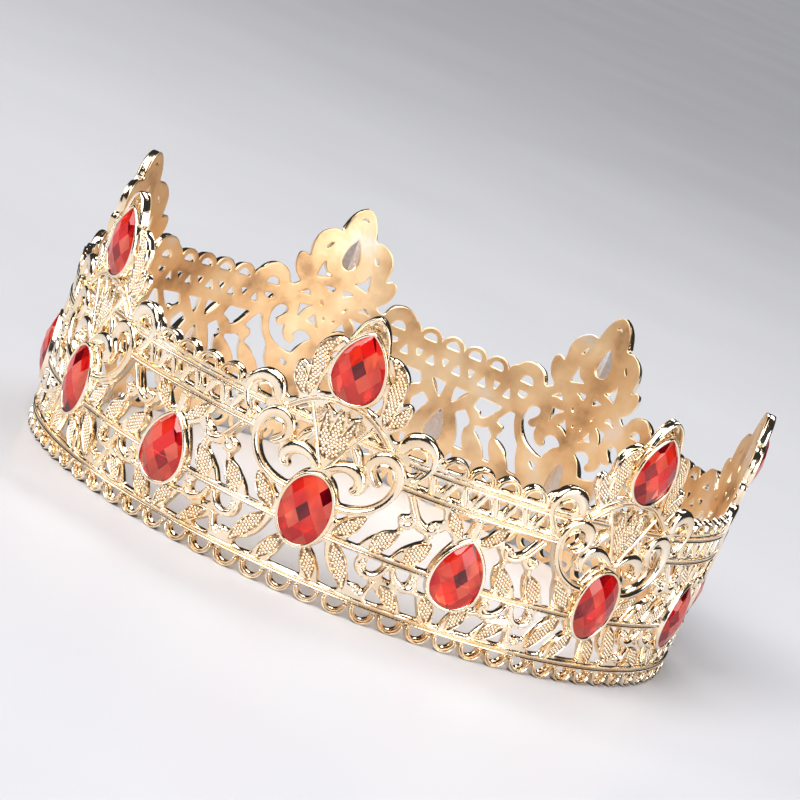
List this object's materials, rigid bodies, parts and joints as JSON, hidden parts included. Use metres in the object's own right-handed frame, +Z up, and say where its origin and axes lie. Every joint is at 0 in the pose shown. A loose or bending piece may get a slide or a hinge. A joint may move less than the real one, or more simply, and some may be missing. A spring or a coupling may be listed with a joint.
{
  "type": "crown",
  "caption": "Ring-shaped openwork costume crown of joined cast scrollwork segments, each with a tall peak, set with red oval and pear stones.",
  "frame": {"origin": "on the axis of the ring, in the plane that the lowest loops stand on", "axes": "+Z up along the axis of the ring; -Y towards the front peak; +X to the viewer's right when facing that peak"},
  "size_m": [0.1864, 0.1884, 0.0722],
  "materials": {
    "gilt_casting": "pale champagne gold plate, polished on the raised work and satin on the flat inside",
    "red_stone": "checkerboard-cut red glass with a silver foil back"
  },
  "bodies": {
    "root": {"frame_segment_1": "gilt_casting", "frame_segment_2": "gilt_casting", "frame_segment_3": "gilt_casting", "frame_segment_4": "gilt_casting", "frame_segment_5": "gilt_casting", "frame_segment_6": "gilt_casting", "frame_segment_7": "gilt_casting", "peak_stone_1": "red_stone", "peak_stone_2": "red_stone", "peak_stone_3": "red_stone", "peak_stone_4": "red_stone", "peak_stone_5": "red_stone", "peak_stone_6": "red_stone", "peak_stone_7": "red_stone", "oval_stone_1": "red_stone", "oval_stone_2": "red_stone", "oval_stone_3": "red_stone", "oval_stone_4": "red_stone", "oval_stone_5": "red_stone", "oval_stone_6": "red_stone", "oval_stone_7": "red_stone", "side_stone_1": "red_stone", "side_stone_2": "red_stone", "side_stone_3": "red_stone", "side_stone_4": "red_stone", "side_stone_5": "red_stone", "side_stone_6": "red_stone", "side_stone_7": "red_stone"}
  },
  "joints": []
}
